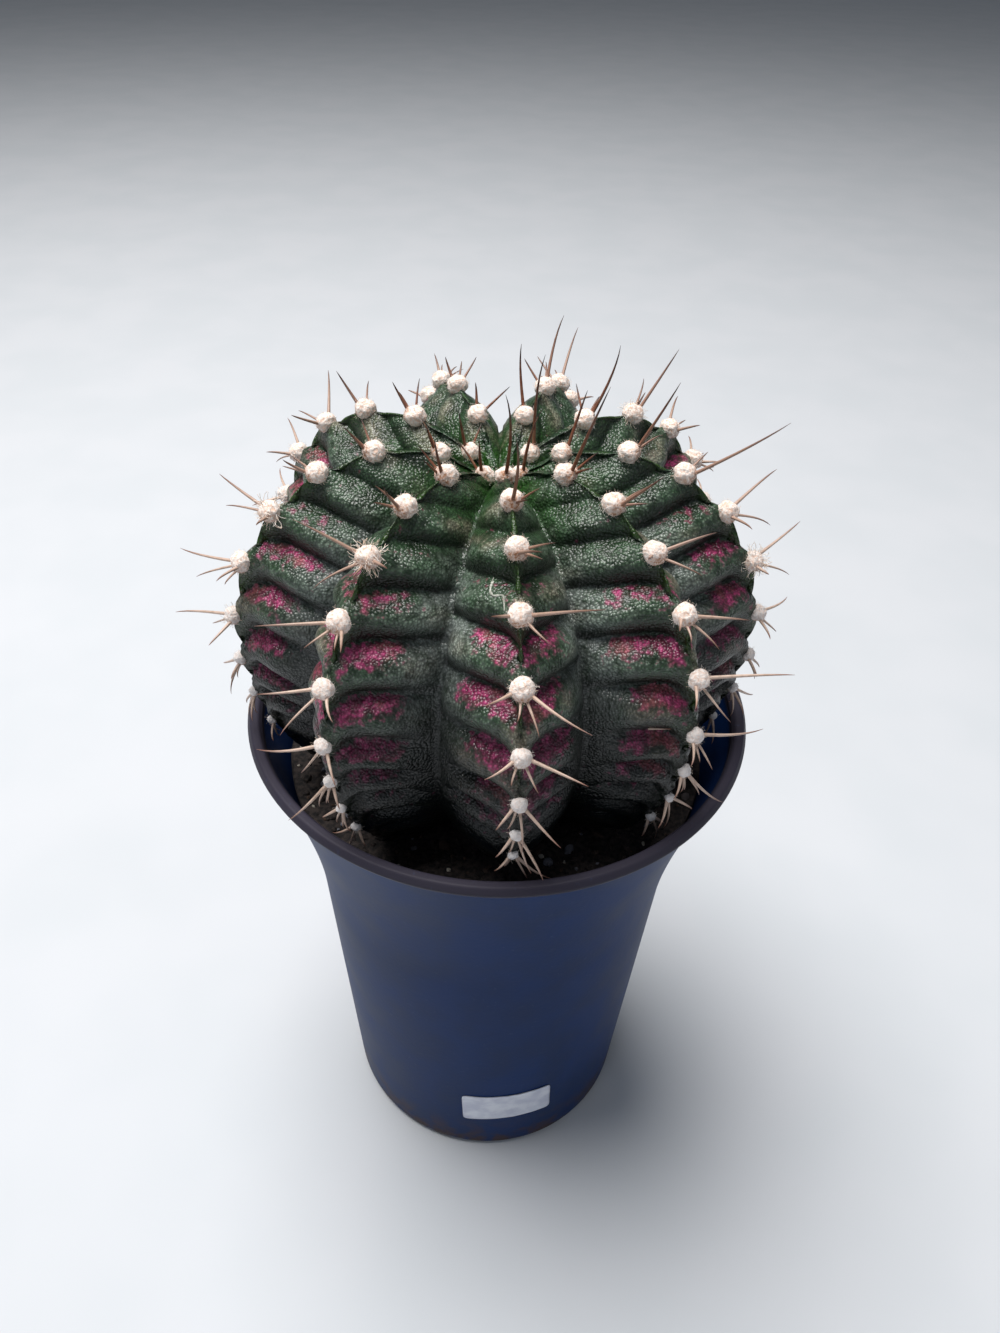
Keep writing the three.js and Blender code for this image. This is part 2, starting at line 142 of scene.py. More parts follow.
# Wool and spines. A spine starts and roots at shares of its wool's radius, and bends by shares of its
# length; spreads are the most that a draw adds.
WOOL_RADIUS = 1.35
WOOL_SUNK = 0.45
FIRST_AREOLE_STEP = 0.5
LAST_AREOLE_STEP = 9.7
UPPER_SPINES_UNTIL = 3.4
FOOT_SPINES_FROM = 7
TWO_SPINES_UNTIL = 1.3
SPINE_RADIUS = 0.25
STRONG_FROM_LENGTH = 6
WEAK_SHARE = 0.78
TIP_RADIUS = 0.02
SPINE_POINTS = 8
SHORTEST_SPINE = 2.2
SHELTERED_LENGTH = 0.4
SPINE_START = 1.1
SPINE_ROOT = 0.45
ROOT_DEPTH = 0.6
BEARING_SPREAD = 16
LIFT_SPREAD = 11
LENGTH_SPREAD = 0.3
BEND_SPREAD = 0.07
OUTWARD_BEND = 0.05
SHORTENING = 0.88
LONG_HAIR = {(-1, 3): 0.8, (-2, 3): 1.0, (2, 4): 0.8, (-2, 5): 0.3, (3, 2): 0.4}
SPINE_TO_RIM = 1.2
SPINE_TO_SOIL = 2

# Scar on the front rib, from its upper end to its lower one. It winds by so many turns along its length.
SCAR_POINTS = 48
SCAR_STEPS = (3.45, 3.95)
SCAR_SIDES = (-0.5, -0.18)
SCAR_GIRTH = 0.16
SCAR_WINDINGS = (2.5, 1.5)
SCAR_KNOTS = 9

# Broken spine that lies on the skin
DROPPED_SPINE_STEP = 6.3
DROPPED_SPINE_SIDES = (-0.43, -0.24)
DROPPED_SPINE_LIFT = [0, -0.25, 0.1]
DROPPED_SPINE_GIRTH = 0.2

# Sticker
LABEL_WIDTH = 17.2
LABEL_HEIGHT = 9.4
LABEL_AZIMUTH = math.radians(9.1)
LABEL_CENTRE_HEIGHT = 17.4
LABEL_TILT = math.radians(2.5)
LABEL_CORNER = 0.9
LABEL_GAP = 0.08
LABEL_THICKNESS = 0.16
LABEL_COLUMNS = 36
LABEL_ROWS = 18


def mix(a, b, share):
    return a + (b - a) * share


def smooth(low, high, x):
    t = np.clip((x - low) / (high - low), 0, 1)
    return t * t * (3 - 2 * t)


def draw(a, b):
    """A repeatable draw between 0 and 1 from two whole numbers."""
    s = math.sin(a * 12.9898 + b * 78.233) * 43758.5453
    return s - math.floor(s)


def around(radius, azimuth, height):
    """Azimuth 0 is the front and grows towards +X. Works on numbers and on arrays."""
    parts = np.broadcast_arrays(radius * np.sin(azimuth), -radius * np.cos(azimuth), height)
    return np.stack(parts, axis=-1)


def turned(a, b, angle):
    """Turns two directions from the first towards the second, or two coordinates the other way."""
    return a * math.cos(angle) + b * math.sin(angle), b * math.cos(angle) - a * math.sin(angle)


def grain(points, size, seed):
    """Smooth noise between about -1 and 1 at points in millimetres, with features of that size."""
    offset = Vector((seed * 17.3, seed * 5.1, seed * 9.7))
    return np.array([noise.noise(Vector(p) / size + offset) for p in points.tolist()])


def colour(code):
    """An sRGB hex colour as linear red, green, blue and alpha."""
    parts = [int(code[i:i + 2], 16) / 255 for i in (1, 3, 5)]
    return [p / 12.92 if p <= 0.04045 else ((p + 0.055) / 1.055) ** 2.4 for p in parts] + [1]


def node(tree, kind, sockets=None, **settings):
    """Adds a node. sockets maps an input's name or number to a value, to the output linked to it, or to
    a node whose first output in use is linked."""
    made = tree.nodes.new(kind)
    for name, value in settings.items():
        setattr(made, name, value)
    for key, value in (sockets or {}).items():
        if isinstance(value, bpy.types.Node):
            value = next(output for output in value.outputs if output.enabled)
        if isinstance(value, bpy.types.NodeSocket):
            tree.links.new(value, made.inputs[key])
        else:
            made.inputs[key].default_value = value
    return made


def link_object(name, data):
    made = bpy.data.objects.new(name, data)
    bpy.context.scene.collection.objects.link(made)
    return made


def mesh_object(name, points, faces, edges=(), smooth_faces=True):
    """A mesh from points in millimetres."""
    mesh = bpy.data.meshes.new(name)
    mesh.from_pydata((np.asarray(points) * MM).tolist(), list(edges), list(faces))
    mesh.polygons.foreach_set("use_smooth", [smooth_faces] * len(mesh.polygons))
    mesh.update()
    return link_object(name, mesh)


def add_value(mesh, name, values):
    """Stores one number a point, for a material or a node tree to read."""
    mesh.attributes.new(name, "FLOAT", "POINT").data.foreach_set("value", np.asarray(values, float))


def add_direction(mesh, name, values):
    flat = np.asarray(values, float).ravel()
    mesh.attributes.new(name, "FLOAT_VECTOR", "POINT").data.foreach_set("vector", flat)


def finish_piece(piece, material, solid):
    """Gives a piece its material, rides it on the root and hides the solid that it stands for."""
    piece.data.materials.clear()
    piece.data.materials.append(material)
    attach(piece, "root")
    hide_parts(solid)


def points_of(mesh):
    """A mesh's points in millimetres."""
    place = np.empty(len(mesh.vertices) * 3)
    mesh.vertices.foreach_get("co", place)
    return place.reshape(-1, 3) / MM


def ring_faces(rows, sides):
    """Faces between rows of points round an axis, and fans to the two points that follow the rows."""
    faces = []
    for start in range(0, (rows - 1) * sides, sides):
        for i in range(sides):
            j = (i + 1) % sides
            faces.append((start + i, start + j, start + sides + j, start + sides + i))
    first, last, end = rows * sides, rows * sides + 1, (rows - 1) * sides
    for i in range(sides):
        j = (i + 1) % sides
        faces.append((first, j, i))
        faces.append((last, end + i, end + j))
    return faces


# Node kinds that are used often
COORDINATES = "ShaderNodeTexCoord"
ATTRIBUTE = "ShaderNodeAttribute"
NOISE = "ShaderNodeTexNoise"
VORONOI = "ShaderNodeTexVoronoi"
RANGE = "ShaderNodeMapRange"
MATH = "ShaderNodeMath"
VECTOR_MATH = "ShaderNodeVectorMath"
MIX = "ShaderNodeMix"
BUMP = "ShaderNodeBump"
PRINCIPLED = "ShaderNodeBsdfPrincipled"
SURFACE = "ShaderNodeOutputMaterial"
NAMED_ATTRIBUTE = "GeometryNodeInputNamedAttribute"
RANDOM = "FunctionNodeRandomValue"
ICO_SPHERE = "GeometryNodeMeshIcoSphere"
CIRCLE = "GeometryNodeCurvePrimitiveCircle"
SWEEP = "GeometryNodeCurveToMesh"
ON_POINTS = "GeometryNodeInstanceOnPoints"
ON_FACES = "GeometryNodeDistributePointsOnFaces"
MOVE = "GeometryNodeSetPosition"


# Geometry Nodes

def new_tree(name, inputs):
    """A node tree with one geometry in and out, the named inputs at their defaults, and a material."""
    tree = bpy.data.node_groups.new(name, "GeometryNodeTree")
    sockets = tree.interface
    sockets.new_socket("Geometry", in_out="INPUT", socket_type="NodeSocketGeometry")
    for label, default in inputs.items():
        kind = "NodeSocketInt" if isinstance(default, int) else "NodeSocketFloat"
        sockets.new_socket(label, in_out="INPUT", socket_type=kind).default_value = default
    sockets.new_socket("Material", in_out="INPUT", socket_type="NodeSocketMaterial")
    sockets.new_socket("Geometry", in_out="OUTPUT", socket_type="NodeSocketGeometry")
    return tree, node(tree, "NodeGroupInput").outputs


def end_tree(tree, geometry, material):
    """Every tree ends in real geometry with its material set."""
    real = node(tree, "GeometryNodeRealizeInstances", {"Geometry": geometry})
    coated = node(tree, "GeometryNodeSetMaterial", {"Geometry": real, "Material": material})
    node(tree, "NodeGroupOutput", {"Geometry": coated})


def settled(name, source):
    """A plain object of what a source's modifiers make of it. The source is removed."""
    evaluated = source.evaluated_get(bpy.context.evaluated_depsgraph_get())
    mesh = bpy.data.meshes.new_from_object(evaluated)
    mesh.name = name
    source.modifiers.clear()
    bpy.data.objects.remove(source)
    return link_object(name, mesh)


def grown(name, source, tree, values):
    """A plain object of what a tree makes of a source, which is removed."""
    modifier = source.modifiers.new(name, "NODES")
    modifier.node_group = tree
    for item in tree.interface.items_tree:
        if item.item_type == "SOCKET" and item.in_out == "INPUT" and item.name in values:
            modifier[item.identifier] = values[item.name]
    return settled(name, source)


def sweep_tree():
    """Sweeps a round section along every chain of edges; 'girth' on its points is the radius."""
    tree, given = new_tree("swept_needles", {"Sides": 6})
    swept = node(tree, SWEEP, {
        "Curve": node(tree, "GeometryNodeMeshToCurve", {"Mesh": given["Geometry"]}),
        "Profile Curve": node(tree, CIRCLE, {"Resolution": given["Sides"], "Radius": 1.0}),
        "Scale": node(tree, NAMED_ATTRIBUTE, {"Name": "girth"}, data_type="FLOAT"),
        "Fill Caps": True,
    })
    shaded = node(tree, "GeometryNodeSetShadeSmooth", {"Geometry": swept})
    end_tree(tree, shaded, given["Material"])
    return tree


def wool_tree():
    """Sets a felted dome on every point, along the point's 'axis' and with its 'size'."""
    tree, given = new_tree("wool_domes", {
        "Lump Size": 0.0008, "Lump Height": 0.00028, "Felt Size": 0.00018, "Felt Height": 0.00007,
    })
    size = node(tree, NAMED_ATTRIBUTE, {"Name": "size"}, data_type="FLOAT")
    axis = node(tree, NAMED_ATTRIBUTE, {"Name": "axis"}, data_type="FLOAT_VECTOR")
    flat = node(tree, MATH, {0: size, 1: 0.94}, operation="MULTIPLY")
    placed = node(tree, ON_POINTS, {
        "Points": given["Geometry"],
        "Instance": node(tree, ICO_SPHERE, {"Radius": 1.0, "Subdivisions": 4}),
        "Rotation": node(tree, "FunctionNodeAlignRotationToVector", {"Vector": axis}, axis="Z"),
        "Scale": node(tree, "ShaderNodeCombineXYZ", {"X": size, "Y": size, "Z": flat}),
    })
    moved = node(tree, "GeometryNodeRealizeInstances", {"Geometry": placed})
    for label in ("Lump", "Felt"):
        texture = node(tree, NOISE, {
            "Vector": node(tree, "GeometryNodeInputPosition"),
            "Scale": node(tree, MATH, {0: 1.0, 1: given[label + " Size"]}, operation="DIVIDE"),
            "Detail": 2.0,
        })
        level = node(tree, RANGE, {
            "Value": texture, "From Min": 0.3, "From Max": 0.7, "To Min": 0.0,
            "To Max": given[label + " Height"],
        })
        push = node(tree, VECTOR_MATH, {
            0: node(tree, "GeometryNodeInputNormal"), "Scale": level,
        }, operation="SCALE")
        moved = node(tree, MOVE, {"Geometry": moved, "Offset": push})
    shaded = node(tree, "GeometryNodeSetShadeSmooth", {"Geometry": moved})
    end_tree(tree, shaded, given["Material"])
    return tree


def fuzz_tree():
    """Grows curved hairs out of a surface, longer where its 'shag' is high."""
    tree, given = new_tree("wool_fibres", {
        "Count Density": 5.0e6, "Length": 0.00045, "Longest": 0.0013, "Thickness": 0.000013, "Seed": 7,
    })
    spots = node(tree, ON_FACES, {
        "Mesh": given["Geometry"], "Density": given["Count Density"], "Seed": given["Seed"],
    })
    line = node(tree, "GeometryNodeCurvePrimitiveBezierSegment", {
        "Resolution": 3, "Start": (0, 0, -0.1), "Start Handle": (0, 0, 0.4),
        "End Handle": (0.25, 0.1, 0.7), "End": (0.55, 0.15, 0.8),
    })
    fibre = node(tree, SWEEP, {
        "Curve": line,
        "Profile Curve": node(tree, CIRCLE, {"Resolution": 3, "Radius": 1.0}),
        "Scale": node(tree, MATH, {0: given["Thickness"], 1: given["Length"]}, operation="DIVIDE"),
        "Fill Caps": True,
    })
    twist = node(tree, RANDOM, {
        "Min": (-0.5, -0.5, 0.0), "Max": (0.5, 0.5, TURN), "Seed": given["Seed"],
    }, data_type="FLOAT_VECTOR")
    spin = node(tree, "FunctionNodeRotateRotation", {
        "Rotation": spots.outputs["Rotation"], "Rotate By": twist,
    }, rotation_space="LOCAL")
    reach = node(tree, RANGE, {
        "Value": node(tree, NAMED_ATTRIBUTE, {"Name": "shag"}, data_type="FLOAT"),
        "To Min": given["Length"], "To Max": given["Longest"],
    })
    stretch = node(tree, RANDOM, {"Min": 0.4, "Max": 1.3, "Seed": given["Seed"]})
    placed = node(tree, ON_POINTS, {
        "Points": spots.outputs["Points"], "Instance": fibre, "Rotation": spin,
        "Scale": node(tree, MATH, {0: stretch.outputs[1], 1: reach}, operation="MULTIPLY"),
    })
    end_tree(tree, placed, given["Material"])
    return tree


def grit_tree():
    """Scatters crumbs and stones over a surface; 'tint' tells them apart in the material."""
    tree, given = new_tree("scattered_grit", {
        "Count Density": 4.0e5, "Smallest": 0.0003, "Largest": 0.001, "Seed": 3,
    })
    spots = node(tree, ON_FACES, {
        "Mesh": given["Geometry"], "Density": given["Count Density"], "Seed": given["Seed"],
    })
    knock = node(tree, RANDOM, {
        "Min": (-0.2, -0.2, -0.2), "Max": (0.2, 0.2, 0.2), "Seed": 11,
    }, data_type="FLOAT_VECTOR")
    stone = node(tree, MOVE, {
        "Geometry": node(tree, ICO_SPHERE, {"Radius": 1.0, "Subdivisions": 2}), "Offset": knock,
    })
    size = node(tree, RANDOM, {"Min": 0.0, "Max": 1.0, "Seed": given["Seed"]})
    radius = node(tree, RANGE, {
        "Value": node(tree, MATH, {0: size.outputs[1], 1: 3.0}, operation="POWER"),
        "To Min": given["Smallest"], "To Max": given["Largest"],
    })
    squash = node(tree, RANDOM, {
        "Min": (0.8, 0.7, 0.5), "Max": (1.2, 1.1, 0.9), "Seed": 5,
    }, data_type="FLOAT_VECTOR")
    tumbled = node(tree, RANDOM, {
        "Min": (-0.6, -0.6, 0.0), "Max": (0.6, 0.6, TURN), "Seed": 23,
    }, data_type="FLOAT_VECTOR")
    tinted = node(tree, "GeometryNodeStoreNamedAttribute", {
        "Geometry": spots.outputs["Points"], "Name": "tint",
        "Value": node(tree, RANDOM, {"Seed": 31}).outputs[1],
    }, data_type="FLOAT", domain="POINT")
    placed = node(tree, ON_POINTS, {
        "Points": tinted, "Instance": stone, "Rotation": tumbled,
        "Scale": node(tree, VECTOR_MATH, {0: squash, "Scale": radius}, operation="SCALE"),
    })
    end_tree(tree, placed, given["Material"])
    return tree


# Form of the plant

def rib_azimuth(rib):
    """Ribs stand a little closer together at the back right. A half number is a furrow."""
    even = rib * 360 / RIB_COUNT
    return np.radians(even + CROWDING + CROWDING * np.cos(np.radians(even + CROWDED_FROM)))


def rib_phase(rib):
    phase = RIB_PHASE * np.abs(rib)
    return phase - np.floor(phase)


def facing(step):
    """The angle that the crest faces at a step: 0 is straight up, a quarter turn is sideways."""
    inner = CROWN_TILT * (1 - step / CROWN_STEP)
    upper = (step - CROWN_STEP) * UPPER_STEP_ANGLE
    lower = math.pi / 2 + (step - GIRTH_STEP) * LOWER_STEP_ANGLE
    return np.where(step < CROWN_STEP, inner, np.where(step < GIRTH_STEP, upper, lower))


def meridian(step, radius, reach, top, girth, underside, dimple):
    angle = np.maximum(0, facing(step))
    rise = np.where(np.cos(angle) > 0, top - girth, underside)
    inward = np.minimum(1, (step / CROWN_STEP) ** CROWN_CURVE)
    height = girth + rise * np.cos(angle) - dimple * (1 - inward) ** DIMPLE_CURVE
    return (radius + reach * np.sin(angle)) * inward, height


def smooth_rib(rib, across, step):
    """The smooth ribbed form. across runs from -1 in one furrow over 0 on the crest to 1."""
    sharpness = mix(CROWN_SHARPNESS, CREST_SHARPNESS, np.clip((step - 1.5) / 3, 0, 1))
    share = 1 - np.abs(across) ** sharpness
    crest_radius, crest_height = meridian(step, **CREST_FORM)
    furrow_radius, furrow_height = meridian(step, **FURROW_FORM)
    azimuth = mix(rib_azimuth(rib), rib_azimuth(rib + 0.5 * np.sign(across)), np.abs(across))
    return around(
        mix(furrow_radius, crest_radius, share), azimuth, mix(furrow_height, crest_height, share),
    )


def rib_normal(rib, across, step):
    small = 0.01
    at = np.maximum(step, 2 * small)
    side = np.clip(across, -1 + small, 1 - small)
    right = smooth_rib(rib, side + small, at) - smooth_rib(rib, side - small, at)
    down = smooth_rib(rib, side, at + small) - smooth_rib(rib, side, at - small)
    normal = np.cross(down, right)
    return normal / np.linalg.norm(normal, axis=-1, keepdims=True)


def flank_share(across):
    """0 on the sharp crest and nearly 1 on the flanks."""
    return 1 - np.exp(-np.abs(across) / CHIN_WIDTH)


def fold_place(rib, across, step):
    """0 at the crease over a fold and 1 at the one under it. The creases hang in a chin on the crest
    and climb towards the flanks, the more the lower they are."""
    climb = CLIMB * np.maximum(0, step - CLIMB_FROM) * flank_share(across)
    place = step + climb - rib_phase(rib) - CREASE_AT
    return place - np.floor(place)


def ridge_place(across):
    """A fold's ridge, as a place between its creases. On the crest the ridge carries the areole."""
    return mix(1 - CREASE_AT, RIDGE_AT, flank_share(across))


def swelling(place, across):
    """1 on a fold's ridge and 0 in the creases."""
    ridge = ridge_place(across)
    above = place / ridge / 2
    below = 0.5 + (place - ridge) / (1 - ridge) / 2
    return np.abs(np.sin(math.pi * np.where(place < ridge, above, below))) ** 0.8


def run_out(across, step):
    """0 where a fold stands full and 1 where it has run out into the furrow, low on the plant."""
    return smooth(0.5, 0.95, np.abs(across)) * smooth(4.5, 6.5, step)


def out_of_dimple(step):
    """0 at the crown's middle and 1 from just outside it."""
    return np.clip(step / 0.6, 0, 1)


def fold_depth(step):
    fading = np.clip((LOWEST_STEP - step) / 3, 0, 1)
    return FOLD_DEPTH * (0.2 + 0.8 * smooth(1.5, 5, step)) * fading * out_of_dimple(step)


def skin_form():
    """The skin's points by row and column, and what its marks are worked out from."""
    column = np.arange(RIB_COUNT * COLUMNS_PER_RIB)
    rib = (column // COLUMNS_PER_RIB - RIBS_EACH_SIDE).astype(float)
    across = 2 * (column % COLUMNS_PER_RIB) / COLUMNS_PER_RIB - 1
    step = (np.arange(1, LOWEST_STEP * ROWS_PER_STEP + 1) / ROWS_PER_STEP)[:, None]
    rib, across, step = np.broadcast_arrays(rib, across, step)
    side = np.abs(across)
    base = smooth_rib(rib, across, step)

    flat = base.reshape(-1, 3)
    wide = grain(flat, WIDE_GRAIN, 1).reshape(side.shape)
    medium = grain(flat, MEDIUM_GRAIN, 2).reshape(side.shape)
    fine = grain(flat * [1, 1, 1.6], FINE_GRAIN, 3).reshape(side.shape)

    place = fold_place(rib, across + 0.05 * wide * side, step + 0.06 * wide * side)
    full = 1 - run_out(across, step)
    relief = mix(CREST_RELIEF, FLANK_RELIEF, smooth(0, 0.32, side)) * (1 - side ** 5) * full
    bulge = FLANK_BULGE * smooth(0.2, 0.6, side) * (1 - 0.8 * smooth(5.5, 7.5, step))
    sunk = WOOL_RISE * (1 - side) ** 2
    sunk = sunk + fold_depth(step) * (1 - bulge - swelling(place, across)) * relief
    groove = GROOVE_DEPTH * smooth(0.86, 1, side) * smooth(1, 4, step) * (1 - smooth(4.5, 6, step))
    chin = np.exp(-(side / 0.11) ** 2) * smooth(0.38, 0.55, place)
    keel = KEEL_RISE * chin * smooth(2, 5, step)
    seat = SEAT_RISE * np.exp(-((side / 0.2) ** 2 + ((place - 1 + CREASE_AT) / 0.16) ** 2))
    wrinkle = FINE_WRINKLE * fine * (0.3 + 0.7 * side) + BROAD_WRINKLE * medium
    out = (-sunk - groove + keel + seat + wrinkle) * out_of_dimple(step)
    shaped = base + rib_normal(rib, across, step) * out[..., None]
    return shaped, dict(
        across=across, step=step, place=place, full=full, wide=wide, medium=medium, chin=chin,
    )


def skin_marks(across, step, place, full, wide, medium, chin):
    """The marks that the skin's material reads, each a share from 0 to 1 at every point."""
    side = np.abs(across)
    ridge = ridge_place(across)
    under = (place - ridge) / (1 - ridge)
    reach = 1 - smooth(0.5, 0.78, side + 0.22 * wide)
    # painted shade: 'low' darkens the plant low down and towards its furrows, under its own overhang and
    # inside the pot
    low = smooth(4.8, 7.6, step + 1.8 * side - 0.6)
    return {
        "blush": (1 - smooth(0.1, 0.56, place + 0.2 * medium)) * smooth(0.0, 0.05, place) * reach
        * smooth(2.9, 5, step) * smooth(0.04, 0.16, side) * (1 - smooth(6.6, 8.8, step)),
        "tan": full * np.exp(-((place - ridge + 0.1) / 0.2) ** 2)
        * smooth(0.25, 0.6, wide + 0.3 * medium + 0.2),
        # painted shade: darkens each fold's underside, below its ridge
        "shade": full * smooth(0.1, 0.75, under) * smooth(1.5, 4, step),
        # painted highlight: lighter specks along each fold's ridge, weaker low on the plant where it is
        # shaded
        "painted_ridge_highlight": full * np.exp(-((place - ridge + 0.05) / 0.22) ** 2) * (1 - 0.5 * smooth(0.7, 1, side))
        * (1 - 0.7 * low),
        "crown": (1 - smooth(0.8, 3.6, step)) * smooth(0.2, 0.9, side + 0.3 * (1 - smooth(0, 1.6, step))),
        "keel": chin * smooth(1.2, 2.2, step) * (1 - 0.6 * smooth(5, 7.5, step)),
        "dust": smooth(0.4, 0.85, side) * smooth(2.8, 4.6, step) * (1 - smooth(5.4, 7.2, step)),
        "low": low,
    }


def make_flesh(material):
    """The ribbed body on its neck: folds under every areole, fine wrinkles and the skin's marks.
    Returns the skin's points by row and column."""
    shaped, measures = skin_form()
    rows, columns = shaped.shape[:2]
    ring = shaped[-1]
    azimuth = np.arctan2(ring[:, 0], -ring[:, 1])
    points = [shaped.reshape(-1, 3)]
    for radius, height in NECK:
        points.append(around(radius, azimuth, height))
    crown_centre = [0, 0, CREST_FORM["top"] - CREST_FORM["dimple"]]
    points.append(np.array([crown_centre, [0, 0, NECK[-1][1]]]))
    points = np.concatenate(points) + PLANT_PLACE
    # The rows run down the plant, so every face is turned round to look out
    faces = [(face[0], *face[:0:-1]) for face in ring_faces(rows + len(NECK), columns)]
    piece = mesh_object("cactus_flesh", points, faces)
    tail = np.zeros(len(NECK) * columns + 2)
    for name, values in skin_marks(**measures).items():
        add_value(piece.data, name, np.concatenate([values.ravel(), tail]))
    finish_piece(piece, material, "cactus")
    return shaped


# Areoles

def areole_frame(rib, step):
    """An areole's place, and the directions out of the plant, down the rib and along the girth."""
    azimuth = float(rib_azimuth(rib))
    radius, height = meridian(np.float64(step), **CREST_FORM)
    angle = float(facing(np.float64(step)))
    return {
        "place": around(radius, azimuth, height),
        "out": around(math.sin(angle), azimuth, math.cos(angle)),
        "down": around(math.cos(angle), azimuth, -math.sin(angle)),
        "along": around(1, azimuth + math.pi / 2, 0),
    }


def wool_radius(step):
    young = np.clip((step + 1.2) / 2.6, 0.86, 1)
    worn = 1 - 0.6 * np.clip((step - 5) / 3.5, 0, 1)
    return WOOL_RADIUS * young * worn


def areoles():
    """Every areole as its rib, its number on that rib, its step and its frame."""
    found = []
    for rib in range(-RIBS_EACH_SIDE, RIBS_EACH_SIDE + 1):
        phase = float(rib_phase(rib))
        steps = [n + phase for n in range(LOWEST_STEP)]
        steps = [step for step in steps if FIRST_AREOLE_STEP < step < LAST_AREOLE_STEP]
        for number, step in enumerate(steps):
            found.append((rib, number, step, areole_frame(rib, step)))
    return found


def make_wool(places, wool_material, tree):
    """One felted dome an areole. 'lower' marks the edge that the spines leave, 'shag' the long hair."""
    centres = [f["place"] - WOOL_SUNK * f["out"] for _, _, _, f in places]
    source = mesh_object("wool_points", np.array(centres) + PLANT_PLACE, [])
    add_direction(source.data, "axis", [f["out"] for _, _, _, f in places])
    add_value(source.data, "size", [wool_radius(step) * MM for _, _, step, _ in places])
    piece = grown("areole_wool", source, tree, {"Material": wool_material})
    mesh = piece.data
    domes = points_of(mesh).reshape(len(places), -1, 3) - PLANT_PLACE
    lower, age, shag = [], [], []
    for dome, (rib, number, step, around_it) in zip(domes, places):
        down = (dome - around_it["place"]) @ around_it["down"] / wool_radius(step)
        lower.append(smooth(0.35, 0.95, down))
        age.append(np.full(len(dome), smooth(4, 8.5, step)))
        shag.append(np.full(len(dome), LONG_HAIR.get((rib, number), 0.0)))
    for name, values in {"lower": lower, "age": age, "shag": shag}.items():
        add_value(mesh, name, np.concatenate(values))
    finish_piece(piece, wool_material, "cactus")
    return piece


def make_fuzz(wool, fibre_material, tree):
    source = link_object("fuzz_source", wool.data.copy())
    piece = grown("areole_fibres", source, tree, {"Material": fibre_material})
    finish_piece(piece, fibre_material, "cactus")


# Bearing turns from down the rib, lift is from the skin outwards, both in degrees. The first four
# are those of the plant's solid, and the rest are its small ones.
CROWN_SPINES = [(8, 66, 11), (-64, 40, 3.6), (60, 40, 3.8), (22, 30, 3.3), (-26, 42, 2.9)]
GIRTH_SPINES = [(-72, 34, 8.8), (70, 34, 8.8), (-28, 30, 5), (24, 32, 4.6)]
FOOT_SPINES = [(-50, 30, 7.5), (48, 30, 7.5), (-18, 24, 5.6), (14, 24, 5.6), (-4, 20, 4.4)]


def spine_kinds(step):
    if step < UPPER_SPINES_UNTIL:
        return CROWN_SPINES
    return GIRTH_SPINES if step < FOOT_SPINES_FROM else FOOT_SPINES


def wall_radius(height):
    """The pot's outer radius at a height above its base."""
    flare = np.clip((height - COLLAR_FOOT) / COLLAR_HEIGHT, 0, 1)
    return BASE_RADIUS + WALL_TAPER * height + COLLAR_FLARE * flare ** COLLAR_CURVE


def is_clear(point):
    """A point clear of the rim, of the pot's wall and of the soil."""
    radius = math.hypot(point[0] + PLANT_SHIFT, point[1])
    height = point[2] + POT_HEIGHT
    if height > POT_HEIGHT + SPINE_TO_RIM:
        return True
    if height < SOIL_TOP + SPINE_TO_SOIL:
        return False
    wall = float(wall_radius(min(height, POT_HEIGHT - 2 * BEAD_RADIUS)))
    return radius < wall - WALL_THICKNESS - SPINE_TO_RIM


def spine_path(rib, areole, number, around_it, kind, wool):
    key = (rib + RIBS_EACH_SIDE) * 16 + areole

    def vary(slot):
        return 2 * draw(key, number * 4 + slot) - 1

    bearing = math.radians(kind[0] + BEARING_SPREAD * vary(0))
    lift = math.radians(kind[1] + LIFT_SPREAD * vary(1))
    across = around_it["down"] * math.cos(bearing) + around_it["along"] * math.sin(bearing)
    heading = across * math.cos(lift) + around_it["out"] * math.sin(lift)
    start = around_it["place"] + across * (SPINE_START * wool)
    root = around_it["place"] + across * (SPINE_ROOT * wool) - around_it["out"] * ROOT_DEPTH
    sheltered = SHELTERED_LENGTH if kind[0] * (rib + 0.5) < 0 else 1
    length = kind[2] * sheltered * (1 + LENGTH_SPREAD * vary(2))
    while length > SHORTEST_SPINE:
        bend = BEND_SPREAD * length * vary(3)
        middle = start + heading * (0.5 * length)
        middle = middle + around_it["out"] * (OUTWARD_BEND * length) + around_it["along"] * bend
        tip = start + heading * length
        if is_clear(middle) and is_clear(tip):
            share = np.linspace(0, 1, SPINE_POINTS)[:, None]
            bulge = 2 * middle - (root + tip) / 2
            return root * (1 - share) ** 2 + bulge * 2 * share * (1 - share) + tip * share ** 2
        length *= SHORTENING
    return None


def swept_piece(name, paths, girths, ages, sides, material, tree):
    """A round section swept along paths, with a radius, a share of the way and an age on each point."""
    points = np.concatenate(paths) + PLANT_PLACE
    edges, start = [], 0
    for path in paths:
        edges += [(start + i, start + i + 1) for i in range(len(path) - 1)]
        start += len(path)
    source = mesh_object(name + "_paths", points, [], edges)
    add_value(source.data, "girth", np.concatenate(girths) * MM)
    add_value(source.data, "reach", np.concatenate([np.linspace(0, 1, len(p)) for p in paths]))
    add_value(source.data, "age", np.repeat(ages, [len(p) for p in paths]))
    piece = grown(name, source, tree, {"Sides": sides, "Material": material})
    finish_piece(piece, material, "cactus")


